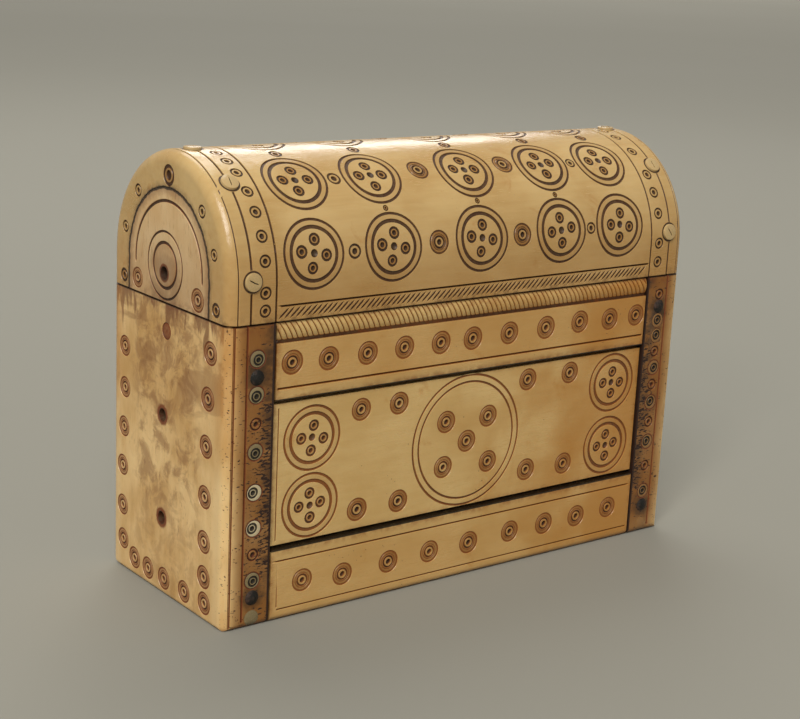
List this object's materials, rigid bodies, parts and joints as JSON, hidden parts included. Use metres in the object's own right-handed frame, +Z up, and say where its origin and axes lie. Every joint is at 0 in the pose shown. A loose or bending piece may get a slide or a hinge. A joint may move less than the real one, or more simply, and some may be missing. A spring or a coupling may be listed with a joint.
{
  "type": "chrismatory",
  "caption": "Barrel-lidded bone casket with ring-and-dot ornament; its hinged lid opens over divided compartments with stoppered oil vessels.",
  "frame": {"origin": "middle of the underside that the casket stands on", "axes": "+X along the length to the right, the carved front faces -Y and the hinges are at +Y, +Z up"},
  "size_m": [0.1012, 0.0423, 0.0773],
  "materials": {
    "bone": "polished old bone, honey coloured, with dark pigment in the cuts",
    "bone_inside": "sawn and scraped bone, dull",
    "lid_bone": "polished pale bone, glossy where it is handled",
    "pegs": "greyish bone end grain",
    "iron": "wrought iron, blackened and rusted",
    "pewter": "turned pewter, dull grey"
  },
  "bodies": {
    "casket": {"left_end_block": "bone", "right_end_block": "bone", "front_bottom_rail": "bone", "front_middle_panel": "bone", "front_top_rail": "bone", "back_bottom_rail": "bone", "back_middle_panel": "bone", "back_top_rail": "bone", "floor_board": "bone_inside", "left_divider": "bone_inside", "right_divider": "bone_inside", "left_wall_pegs": "pegs", "right_wall_pegs": "pegs", "iron_nails": "iron", "left_hinge_leaf": "iron", "right_hinge_leaf": "iron", "left_hinge_pin": "iron", "right_hinge_pin": "iron", "hinge_leaf_nails": "iron"},
    "lid": {"lid_barrel": "lid_bone", "lid_left_end": "lid_bone", "lid_right_end": "lid_bone", "lid_left_pegs": "pegs", "lid_right_pegs": "pegs", "left_hinge_strap": "iron", "right_hinge_strap": "iron", "hinge_strap_nails": "iron"},
    "left_pot": {"left_vessel": "pewter"},
    "middle_pot": {"middle_vessel": "pewter"},
    "right_pot": {"right_vessel": "pewter"},
    "left_plug": {"left_stopper": "pewter"},
    "middle_plug": {"middle_stopper": "pewter"},
    "right_plug": {"right_stopper": "pewter"}
  },
  "joints": [
    {"name": "lid_hinge", "type": "hinge", "parent": "casket", "child": "lid", "pos_m": [0, 0.021, 0.05153], "axis": [-1, 0, 0], "range_deg": [0, 175]},
    {"name": "left_vessel_lift", "type": "slide", "parent": "casket", "child": "left_pot", "axis": [0, 0, 1], "range_m": [0, 0.016]},
    {"name": "middle_vessel_lift", "type": "slide", "parent": "casket", "child": "middle_pot", "axis": [0, 0, 1], "range_m": [0, 0.016]},
    {"name": "right_vessel_lift", "type": "slide", "parent": "casket", "child": "right_pot", "axis": [0, 0, 1], "range_m": [0, 0.016]},
    {"name": "left_stopper_lift", "type": "slide", "parent": "left_pot", "child": "left_plug", "axis": [0, 0, 1], "range_m": [0, 0.008]},
    {"name": "middle_stopper_lift", "type": "slide", "parent": "middle_pot", "child": "middle_plug", "axis": [0, 0, 1], "range_m": [0, 0.008]},
    {"name": "right_stopper_lift", "type": "slide", "parent": "right_pot", "child": "right_plug", "axis": [0, 0, 1], "range_m": [0, 0.008]}
  ]
}
